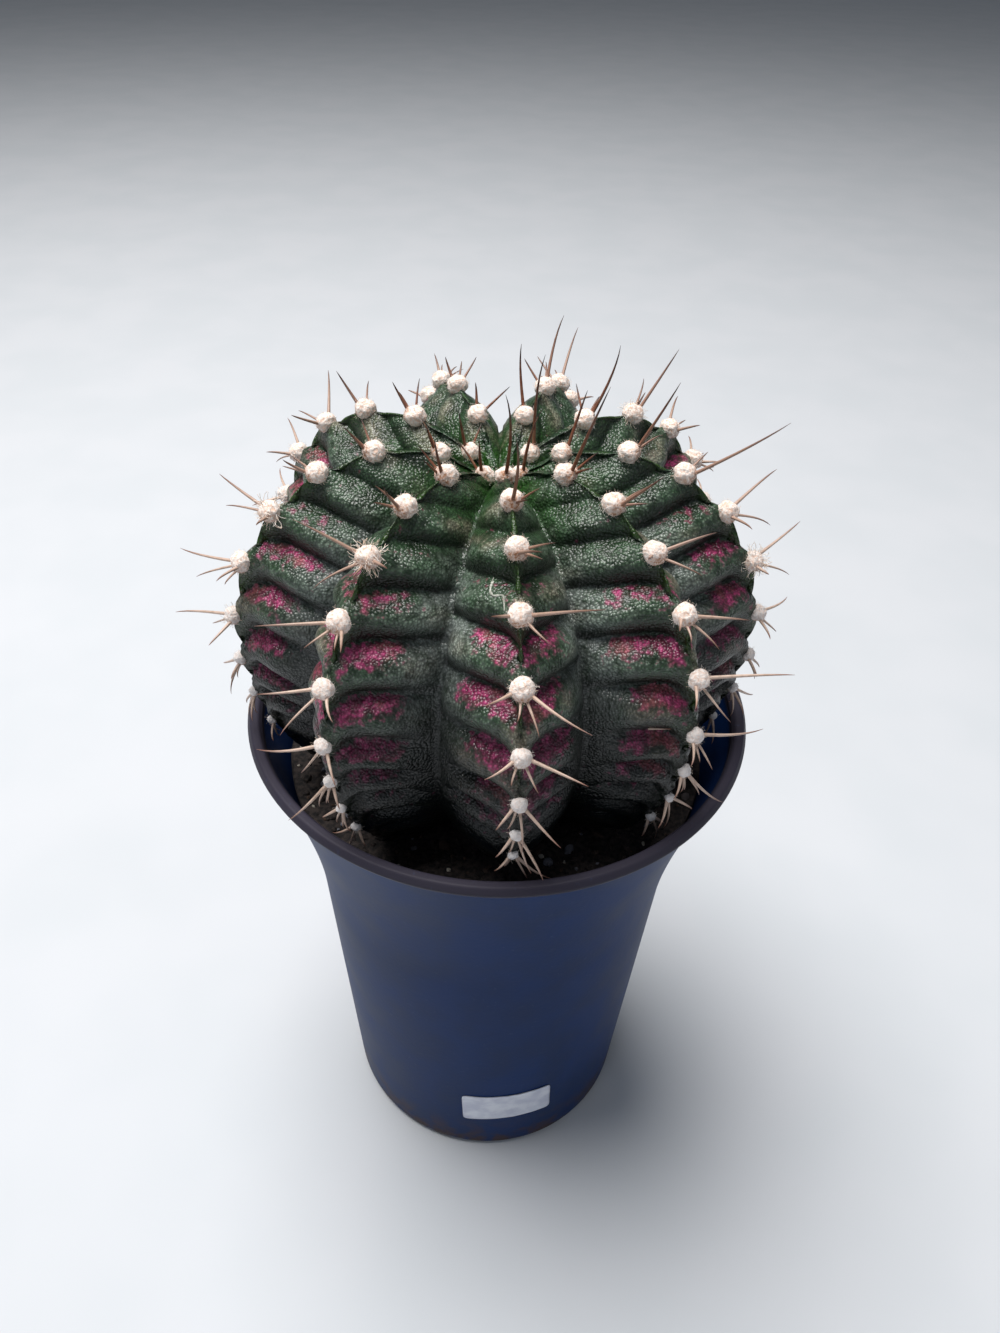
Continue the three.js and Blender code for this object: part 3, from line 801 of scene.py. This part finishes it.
def make_spines(places, material, tree):
    paths, girths, ages = [], [], []
    for rib, number, step, around_it in places:
        for i, kind in enumerate(spine_kinds(step)):
            if step < TWO_SPINES_UNTIL and i > 1:
                continue
            path = spine_path(rib, number, i, around_it, kind, wool_radius(step))
            if path is None:
                continue
            share = np.linspace(0, 1, SPINE_POINTS)
            strong = 1.0 if kind[2] > STRONG_FROM_LENGTH else WEAK_SHARE
            paths.append(path)
            girths.append(SPINE_RADIUS * strong * (1 - share) ** 0.75 + TIP_RADIUS)
            ages.append(np.clip((step - 1.5) / 4, 0, 1))
    swept_piece("spines", paths, girths, ages, 7, material, tree)


def skin_path(skin, rib, step, across):
    """Points on the skin at steps and places across a rib, from the skin's rows and columns."""
    row = step * ROWS_PER_STEP - 1
    column = (rib + RIBS_EACH_SIDE + (across + 1) / 2) * COLUMNS_PER_RIB
    above, left = row.astype(int), column.astype(int)
    down, right = (row - above)[:, None], (column - left)[:, None]
    upper = mix(skin[above, left], skin[above, left + 1], right)
    lower = mix(skin[above + 1, left], skin[above + 1, left + 1], right)
    return mix(upper, lower, down)


def make_scar(skin, material, tree):
    """A pale corky weal that winds across the left flank of the front rib."""
    share = np.linspace(0, 1, SCAR_POINTS)
    winding, swaying = SCAR_WINDINGS
    step = mix(*SCAR_STEPS, share) + 0.05 * np.sin(winding * TURN * share)
    across = mix(*SCAR_SIDES, share) + 0.03 * np.sin(swaying * TURN * share + 1)
    knots = 1 + 0.3 * np.sin(SCAR_KNOTS * TURN * share)
    girth = SCAR_GIRTH * (0.35 + 0.65 * np.sin(math.pi * share)) * knots
    path = skin_path(skin, 0, step, across)
    swept_piece("corky_scar", [path], [girth], [1.0], 8, material, tree)


def make_dropped_spine(skin, material, tree):
    """The end of a broken spine, fallen onto the flank of the rib to the right of the front one."""
    step, across = np.full(2, DROPPED_SPINE_STEP), np.array(DROPPED_SPINE_SIDES)
    ends = skin_path(skin, 1, step, across)
    share = np.linspace(0, 1, SPINE_POINTS)
    path = mix(ends[:1], ends[1:], share[:, None]) + DROPPED_SPINE_LIFT
    girth = DROPPED_SPINE_GIRTH * (1 - 0.7 * share)
    swept_piece("dropped_spine", [path], [girth], [1.0], 6, material, tree)


# Pot

def turned_piece(name, profile, sides, smooth_faces=True):
    """A closed turned form. The profile runs from the axis, up the outside and back to the axis."""
    inner = profile[1:-1]
    azimuth = np.linspace(0, TURN, sides, endpoint=False)
    points = [around(radius, azimuth, height) for radius, height in inner]
    points.append(np.array([[0, 0, profile[0][1]], [0, 0, profile[-1][1]]]))
    faces = ring_faces(len(inner), sides)
    return mesh_object(name, np.concatenate(points), faces, smooth_faces=smooth_faces)


def pot_profile():
    bead_radius = RIM_RADIUS - BEAD_RADIUS
    bead_height = POT_HEIGHT - BEAD_RADIUS
    edge = float(wall_radius(BASE_ROUNDING)) - BASE_ROUNDING
    profile = [(0, 0), (10, 0), (DRAIN_CIRCLE, 0), (22, 0)]
    for angle in np.radians(np.linspace(0, 90, 9)):
        profile.append((edge + BASE_ROUNDING * math.sin(angle), BASE_ROUNDING * (1 - math.cos(angle))))
    for height in np.linspace(4, POT_HEIGHT - 2.6, WALL_ROWS):
        profile.append((float(wall_radius(height)), height))
    for angle in np.radians(np.linspace(*BEAD_ANGLES, BEAD_POINTS)):
        swell = BEAD_RADIUS * (1 + 0.05 * math.cos(6 * angle))
        profile.append((bead_radius + swell * math.cos(angle), bead_height + swell * math.sin(angle)))
    for height in np.linspace(POT_HEIGHT - 3, FLOOR_THICKNESS + 1, INNER_ROWS):
        profile.append((float(wall_radius(height)) - WALL_THICKNESS, height))
    profile += [(float(wall_radius(0)) - 2, FLOOR_THICKNESS), (0, FLOOR_THICKNESS)]
    return profile


def make_pot(material):
    shell = turned_piece("pot_shell", pot_profile(), POT_SIDES)
    drills = []
    for i in range(DRAIN_HOLES):
        place = around(DRAIN_CIRCLE, i * TURN / DRAIN_HOLES, 0) * MM
        profile = [(0, -3), (DRAIN_RADIUS, -3), (DRAIN_RADIUS, 4), (0, 4)]
        drill = turned_piece("drill", profile, DRAIN_SIDES, smooth_faces=False)
        drill.data.transform(Matrix.Translation(place))
        cut = shell.modifiers.new("drain", "BOOLEAN")
        cut.operation = "DIFFERENCE"
        cut.object = drill
        drills.append(drill)
    piece = settled("pot_shell", shell)
    for drill in drills:
        bpy.data.objects.remove(drill)
    finish_piece(piece, material, "pot")


def make_label(material):
    """A thin film sticker that follows the wall, with rounded corners and a slightly lifted edge."""
    across, up = LABEL_COLUMNS, LABEL_ROWS
    size = (across + 1) * (up + 1)
    faces, points = [], []
    for layer in (0, 1):
        for i in range(size):
            row, column = divmod(i, across + 1)
            x = LABEL_WIDTH * (column / across - 0.5)
            y = LABEL_HEIGHT * (row / up - 0.5)
            over_x = max(0, abs(x) - (LABEL_WIDTH / 2 - LABEL_CORNER))
            over_y = max(0, abs(y) - (LABEL_HEIGHT / 2 - LABEL_CORNER))
            reach = math.hypot(over_x, over_y)
            if reach > LABEL_CORNER:
                x -= math.copysign(over_x * (1 - LABEL_CORNER / reach), x)
                y -= math.copysign(over_y * (1 - LABEL_CORNER / reach), y)
            along_wall, up_wall = turned(x, y, -LABEL_TILT)
            height = LABEL_CENTRE_HEIGHT + up_wall
            wall = float(wall_radius(height))
            crinkle = 0.05 * noise.noise(Vector((x * 0.5, y * 0.5, 2)))
            lift = LABEL_GAP + LABEL_THICKNESS * layer + crinkle
            lift += 0.0003 * x * x * max(0, -y)
            points.append(around(wall + lift, LABEL_AZIMUTH + along_wall / wall, height))
    for row in range(up):
        for column in range(across):
            a = row * (across + 1) + column
            b = a + across + 1
            faces.append((a, b, b + 1, a + 1))
            faces.append((size + a, size + a + 1, size + b + 1, size + b))
    rim = list(range(across)) + [across + i * (across + 1) for i in range(up)]
    rim += [size - 1 - i for i in range(across)] + [(up - i) * (across + 1) for i in range(up)]
    for a, b in zip(rim, rim[1:] + rim[:1]):
        faces.append((a, b, size + b, size + a))
    piece = mesh_object("label_film", points, faces)
    finish_piece(piece, material, "label")


# Soil

def make_soil(material, grit_material, tree):
    """The bed fills the pot under a lumpy top, and loose crumbs and stones lie on it."""
    reach = wall_radius(SOIL_TOP) - WALL_THICKNESS - SOIL_CLEARANCE
    bottom = FLOOR_THICKNESS + SOIL_CLEARANCE
    wall = [(0, bottom), (float(wall_radius(bottom)) - WALL_THICKNESS - SOIL_CLEARANCE, bottom)]
    for height in np.linspace(6, SOIL_TOP - 1.5, SOIL_WALL_ROWS):
        wall.append((float(wall_radius(height)) - WALL_THICKNESS - SOIL_CLEARANCE, height))
    ring_radii = np.linspace(reach - 0.4, NECK_HOLE_RADIUS + 0.3, SOIL_TOP_RINGS)
    rings = [(radius, SOIL_TOP) for radius in ring_radii]
    hole_floor = SOIL_TOP - NECK_HOLE_DEPTH
    hole = [(NECK_HOLE_RADIUS, SOIL_TOP - 1), (NECK_HOLE_RADIUS, hole_floor), (0, hole_floor)]
    bed = turned_piece("soil_bed", wall + rings + hole, SOIL_SIDES)
    place = points_of(bed.data)
    radius = np.hypot(place[:, 0], place[:, 1])
    top = place[:, 2] > SOIL_TOP - 0.1
    lumps = LUMP_HEIGHT * grain(place, LUMP_SIZE, 5) + CRUMB_HEIGHT * grain(place, CRUMB_SIZE, 6)
    place[:, 2] += np.where(top, lumps - 0.25, 0)
    shifted = (radius < SHIFTED_GROUND_RADIUS) & (place[:, 2] > hole_floor - 1)
    place[:, 0] += np.where(shifted, PLANT_SHIFT, 0)
    bed.data.vertices.foreach_set("co", (place * MM).ravel())
    bed.data.update()
    finish_piece(bed, material, "soil")

    open_ring = (radius > GRIT_FROM_RADIUS) & (radius < reach - 1) & top
    keep = [p for p in bed.data.polygons if all(open_ring[v] for v in p.vertices)]
    source = mesh_object("grit_ground", place, [tuple(p.vertices) for p in keep])
    grit = grown("soil_grit", source, tree, {"Material": grit_material})
    finish_piece(grit, grit_material, "soil")


# Materials

def new_material(name):
    """An empty node material, its tree and the place on the object that its patterns read."""
    material = bpy.data.materials.new(name)
    material.use_nodes = True
    tree = material.node_tree
    tree.nodes.clear()
    return material, tree, node(tree, COORDINATES).outputs["Object"]


def paint(tree, ground, layers):
    """Paints layers over a ground colour. Each is where it lies (an output or 1), the texture that breaks
    it up, the texture's levels where it starts and is full, its share at each, and its colour."""
    shown = colour(ground)
    for where, texture, start, full, least, most, tone in layers:
        level = node(tree, RANGE, {
            "Value": texture, "From Min": start, "From Max": full, "To Min": least, "To Max": most,
        }, interpolation_type="SMOOTHSTEP")
        share = node(tree, MATH, {0: level, 1: where}, operation="MULTIPLY", use_clamp=True)
        shown = node(tree, MIX, {"Factor": share, 6: shown, 7: colour(tone)}, data_type="RGBA")
    return shown


def waxy_skin():
    """Cactus epidermis: thick waxy cuticle over fine papillae, grown. It gives a dark satin green with
    painted highlights on the ridges, painted shade under the folds, between the papillae and low down,
    magenta under the creases and fresh green in the crown."""
    material, tree, place = new_material("waxy_cactus_skin")
    mark = {name: node(tree, ATTRIBUTE, attribute_name=name).outputs["Fac"] for name in SKIN_MARKS}
    # Papillae stand some four tenths of a millimetre apart, in slightly wavy rows
    wavy = node(tree, NOISE, {"Vector": place, "Scale": 1 / (1.5 * MM), "Detail": 1.0})
    offset = node(tree, VECTOR_MATH, {0: wavy.outputs["Color"], "Scale": 0.5 * MM}, operation="SCALE")
    bent = node(tree, VECTOR_MATH, {0: place, 1: offset}, operation="ADD")
    cells = node(tree, VORONOI, {"Vector": bent, "Scale": 1 / (0.39 * MM), "Randomness": 0.85})
    specks, patches, clouds = (
        node(tree, NOISE, {"Vector": place, "Scale": 1 / (size * MM), "Detail": detail})
        for size, detail in ((1.1, 5.0), (2.6, 4.0), (7.5, 2.0))
    )
    # Specks eat into the pink's edges
    eaten = node(tree, MATH, {0: specks, 1: 0.5}, operation="SUBTRACT")
    ragged = node(tree, MATH, {0: eaten, 1: 1.7, 2: mark["blush"]}, operation="MULTIPLY_ADD")
    rosy = node(tree, RANGE, {"Value": ragged, "From Min": 0.3, "From Max": 0.85, "To Max": 0.92})
    coloured = paint(tree, "#1b2e19", [
        (1.0, patches, 0.36, 0.66, 0.0, 1.0, "#39553a"),
        (mark["tan"], specks, 0.36, 0.6, 0.2, 0.9, "#a3917f"),
        (mark["dust"], specks, 0.34, 0.58, 0.25, 0.85, "#a0a9a4"),
        # painted highlight: pale specks along the ridges
        (mark["painted_ridge_highlight"], specks, 0.4, 0.66, 0.05, 0.6, "#7d907c"),
        (mark["crown"], patches, 0.3, 0.6, 0.5, 0.95, "#2c5a1a"),
        # painted shade on the undersides of the folds
        (mark["shade"], clouds, 0.0, 0.5, 0.75, 0.92, "#0b120b"),
        # painted shade low on the plant
        (mark["low"], clouds, 0.0, 0.5, 0.8, 0.9, "#0c100e"),
        (rosy, patches, 0.38, 0.5, 0.45, 1.0, "#8a2052"),
        (rosy, specks, 0.47, 0.62, 0.0, 0.85, "#cf5088"),
        (rosy, clouds, 0.52, 0.62, 0.0, 0.6, "#a96c5c"),
        (mark["keel"], clouds, 0.0, 0.5, 0.45, 0.7, "#3b5c1e"),
        # painted shade darkens the pink low on the plant
        (mark["low"], clouds, 0.0, 0.5, 0.4, 0.55, "#0f0b0e"),
        # painted shade in the crevices between the papillae
        (1.0, cells, 0.3, 0.62, 0.0, 0.5, "#0a110b"),
        # painted highlight: pale glints on the tops of the papillae along the ridges
        (mark["painted_ridge_highlight"], cells, 0.28, 0.08, 0.0, 0.25, "#b9c6bb"),
    ])
    domes = node(tree, MATH, {0: 0.6, 1: cells}, operation="SUBTRACT")
    fine = node(tree, BUMP, {"Height": domes, "Distance": 0.15 * MM})
    coarse = node(tree, BUMP, {
        "Height": patches, "Distance": 0.3 * MM, "Strength": 0.6, "Normal": fine,
    })
    shader = node(tree, PRINCIPLED, {
        "Base Color": coloured, "Roughness": 0.3, "Normal": coarse, "IOR": 1.5,
    })
    node(tree, SURFACE, {"Surface": shader})
    return material


def felted_wool():
    """Areole felt: matted plant hair. Cream and matt, brown at its lower edge and whiter when worn."""
    material, tree, place = new_material("areole_felt")
    age = node(tree, ATTRIBUTE, attribute_name="age").outputs["Fac"]
    lower = node(tree, ATTRIBUTE, attribute_name="lower").outputs["Fac"]
    tufts = node(tree, NOISE, {"Vector": place, "Scale": 1 / (0.35 * MM), "Detail": 3.0})
    felt = paint(tree, "#eec9b2", [
        (1.0, tufts, 0.3, 0.6, 0.0, 1.0, "#fff3ea"),
        (age, tufts, 0.0, 0.5, 0.6, 0.9, "#efeae8"),
        (lower, tufts, 0.3, 0.6, 1.0, 0.45, "#a8714a"),
    ])
    matted = node(tree, BUMP, {"Height": tufts, "Distance": 0.2 * MM})
    shader = node(tree, PRINCIPLED, {
        "Base Color": felt, "Roughness": 0.95, "Normal": matted, "Sheen Weight": 0.3,
        "Sheen Roughness": 0.5, "Specular IOR Level": 0.2,
    })
    node(tree, SURFACE, {"Surface": shader})
    return material


def loose_fibre():
    """Loose areole hair: dry, pale plant fibre that catches the light."""
    material, tree, place = new_material("loose_plant_hair")
    strands = node(tree, NOISE, {"Vector": place, "Scale": 1 / (1.2 * MM)})
    tone = paint(tree, "#efd7c1", [(1.0, strands, 0.35, 0.65, 0.0, 1.0, "#fcf5ee")])
    shader = node(tree, PRINCIPLED, {"Base Color": tone, "Roughness": 0.8, "Specular IOR Level": 0.3})
    node(tree, SURFACE, {"Surface": shader})
    return material


def horny_spine():
    """Cactus spine: dry lignified horn. Young ones are brown with near-black tips, old ones bone."""
    material, tree, place = new_material("horny_spine")
    reach = node(tree, ATTRIBUTE, attribute_name="reach").outputs["Fac"]
    age = node(tree, ATTRIBUTE, attribute_name="age").outputs["Fac"]
    streaks = node(tree, NOISE, {"Vector": place, "Scale": 1 / (0.8 * MM), "Detail": 3.0})
    young = node(tree, MATH, {0: 1.0, 1: age}, operation="SUBTRACT")
    horn = paint(tree, "#cfb5a4", [
        (1.0, reach, 0.35, 1.0, 0.0, 1.0, "#83594c"),
        (young, reach, 0.0, 0.95, 1.0, 1.0, "#7d4a33"),
        (young, reach, 0.25, 0.95, 0.0, 1.0, "#1c1213"),
        (1.0, streaks, 0.45, 0.7, 0.0, 0.4, "#9b7c62"),
    ])
    ribbed = node(tree, BUMP, {"Height": streaks, "Distance": 0.04 * MM})
    shader = node(tree, PRINCIPLED, {
        "Base Color": horn, "Roughness": 0.4, "Normal": ribbed, "IOR": 1.5,
    })
    node(tree, SURFACE, {"Surface": shader})
    return material


def corky_skin():
    """Scar tissue: dry cork, pale and matt, grown over a scratch."""
    material, tree, place = new_material("corky_scar")
    flakes = node(tree, NOISE, {"Vector": place, "Scale": 1 / (0.5 * MM), "Detail": 3.0})
    cork = paint(tree, "#8f9186", [(1.0, flakes, 0.4, 0.62, 0.0, 1.0, "#c4c6bb")])
    shader = node(tree, PRINCIPLED, {"Base Color": cork, "Roughness": 0.85})
    node(tree, SURFACE, {"Surface": shader})
    return material


def moulded_polypropylene():
    """Nursery-pot polypropylene, injection moulded in black: satin, faintly cloudy, navy from a painted
    reflection of blue surroundings, dark grey on the rim, with dried soil along the foot."""
    material, tree, place = new_material("moulded_polypropylene")
    height = node(tree, "ShaderNodeSeparateXYZ", {"Vector": place}).outputs["Z"]
    clouds, specks, smears = (
        node(tree, NOISE, {"Vector": place, "Scale": 1 / (size * MM), "Detail": detail})
        for size, detail in ((9, 3.0), (0.9, 4.0), (4, 5.0))
    )
    rim = node(tree, RANGE, {
        "Value": height, "From Min": (POT_HEIGHT - 2.4) * MM, "From Max": (POT_HEIGHT - 1.6) * MM,
    })
    foot = node(tree, RANGE, {
        "Value": height, "From Min": 0.5 * MM, "From Max": 11 * MM, "To Min": 1.0, "To Max": 0.0,
    })
    # painted reflection: the navy and its clouds stand for blue surroundings mirrored in the black plastic
    body = paint(tree, "#0e2851", [
        (1.0, clouds, 0.3, 0.7, 0.0, 1.0, "#112e5e"),
        (rim, clouds, 0.0, 0.5, 0.8, 1.0, "#37343f"),
        (1.0, specks, 0.64, 0.74, 0.0, 0.15, "#4b5a80"),
        (foot, smears, 0.4, 0.6, 0.0, 1.0, "#46342a"),
    ])
    gloss = node(tree, RANGE, {
        "Value": clouds, "From Min": 0.3, "From Max": 0.7, "To Min": 0.44, "To Max": 0.5,
    })
    grained = node(tree, BUMP, {"Height": specks, "Distance": 0.02 * MM})
    shader = node(tree, PRINCIPLED, {
        "Base Color": body, "Roughness": gloss, "Normal": grained, "IOR": 1.49,
        "Specular IOR Level": 0.12,
    })
    node(tree, SURFACE, {"Surface": shader})
    return material


def silver_film():
    """Printed-label film: metallised polyester, laminated. Silvery white, smooth and softly creased."""
    material, tree, place = new_material("metallised_label_film")
    creases = node(tree, NOISE, {"Vector": place, "Scale": 1 / (3 * MM), "Detail": 3.0})
    tone = paint(tree, "#c9cddd", [(1.0, creases, 0.3, 0.7, 0.0, 1.0, "#e6e9f2")])
    creased = node(tree, BUMP, {"Height": creases, "Distance": 0.1 * MM})
    shader = node(tree, PRINCIPLED, {
        "Base Color": tone, "Metallic": 0.1, "Roughness": 0.36, "Normal": creased,
    })
    node(tree, SURFACE, {"Surface": shader})
    return material


def growing_mix(name, stones):
    """Cactus soil: peat, bark dust and volcanic grit, damp. Nearly black crumbs, and among the loose
    ones some stones, picked by their tint."""
    material, tree, place = new_material(name)
    crumbs = node(tree, NOISE, {"Vector": place, "Scale": 1 / (0.8 * MM), "Detail": 4.0})
    layers = [(1.0, crumbs, 0.35, 0.65, 0.0, 1.0, "#3a322f")]
    if stones:
        tint = node(tree, ATTRIBUTE, attribute_name="tint").outputs["Fac"]
        layers += [
            (1.0, tint, 0.62, 0.72, 0.0, 1.0, "#4a3a30"),
            (1.0, tint, 0.84, 0.88, 0.0, 1.0, "#6f7079"),
            (1.0, tint, 0.965, 0.975, 0.0, 1.0, "#b9b2a6"),
        ]
    rough = node(tree, BUMP, {"Height": crumbs, "Distance": 0.3 * MM})
    shader = node(tree, PRINCIPLED, {
        "Base Color": paint(tree, "#131112", layers), "Roughness": 0.9, "Normal": rough,
    })
    node(tree, SURFACE, {"Surface": shader})
    return material


def pale_floor():
    """Studio paper: matt, pale, rolled."""
    material, tree, place = new_material("studio_paper")
    pulp = node(tree, NOISE, {"Vector": place, "Scale": 1 / (40 * MM)})
    tone = paint(tree, "#d1d5d9", [(1.0, pulp, 0.3, 0.7, 0.0, 1.0, "#d5d8dc")])
    shader = node(tree, PRINCIPLED, {"Base Color": tone, "Roughness": 0.9})
    node(tree, SURFACE, {"Surface": shader})
    return material


# Camera, floor and light

def make_camera():
    """Aims at the middle of the rim, then turns until it falls on its pixel of the photograph."""
    outward = Vector((0, -math.cos(CAMERA_ELEVATION), math.sin(CAMERA_ELEVATION)))
    place = outward * CAMERA_DISTANCE + Vector((0, 0, POT_HEIGHT))
    forward, right = -outward, Vector((1, 0, 0))
    up = right.cross(forward)
    pitch = math.atan((RIM_CENTRE_PIXEL[1] - IMAGE_HEIGHT / 2) / FOCAL_PIXELS)
    yaw = math.atan((RIM_CENTRE_PIXEL[0] - IMAGE_WIDTH / 2) / FOCAL_PIXELS)
    forward, up = turned(forward, up, pitch)
    forward, right = turned(forward, right, -yaw)
    right, up = turned(right, up, CAMERA_ROLL)
    data = bpy.data.cameras.new("camera")
    data.sensor_width = SENSOR
    data.lens = SENSOR * FOCAL_PIXELS / IMAGE_HEIGHT
    data.clip_start = 0.005
    data.clip_end = 20
    camera = link_object("camera", data)
    axes = Matrix((right, up, -forward)).transposed().to_4x4()
    axes.translation = place * MM
    camera.matrix_world = axes
    bpy.context.scene.camera = camera


def make_floor(material):
    far = FLOOR_REACH
    corners = [(-far, -far, 0), (far, -far, 0), (far, far, 0), (-far, far, 0)]
    floor = mesh_object("studio_floor", corners, [(0, 1, 2, 3)])
    floor.data.materials.append(material)


def area_light(name, place, target, size, power, tone):
    data = bpy.data.lights.new(name, "AREA")
    data.shape = "DISK"
    data.size = size
    data.energy = power
    data.color = colour(tone)[:3]
    light = link_object(name, data)
    light.location = place
    light.rotation_euler = (Vector(target) - Vector(place)).to_track_quat("-Z", "Y").to_euler()


def make_light():
    target = (0, 0, 0.1)
    area_light("overcast_key", (-0.2, 0.12, 0.95), target, 0.7, 13, "#fffdfb")
    area_light("side_fill", (0.7, -0.3, 0.5), target, 0.6, 0.5, "#eaf2ff")
    area_light("front_fill", (-0.4, -0.7, 0.5), target, 0.6, 0.7, "#eaf2ff")
    world = bpy.data.worlds.new("studio")
    world.use_nodes = True
    sky = world.node_tree.nodes["Background"].inputs
    sky["Color"].default_value = colour("#dfe8f5")
    sky["Strength"].default_value = 0.13
    bpy.context.scene.world = world
    bpy.context.scene.view_settings.view_transform = "Standard"


make_camera()
make_floor(pale_floor())
make_light()

sweep = sweep_tree()
places = areoles()
skin = make_flesh(waxy_skin())
make_scar(skin, corky_skin(), sweep)
wool = make_wool(places, felted_wool(), wool_tree())
make_fuzz(wool, loose_fibre(), fuzz_tree())
horn = horny_spine()
make_spines(places, horn, sweep)
make_dropped_spine(skin, horn, sweep)
make_pot(moulded_polypropylene())
make_label(silver_film())
make_soil(growing_mix("damp_growing_mix", False), growing_mix("mixed_grit", True), grit_tree())
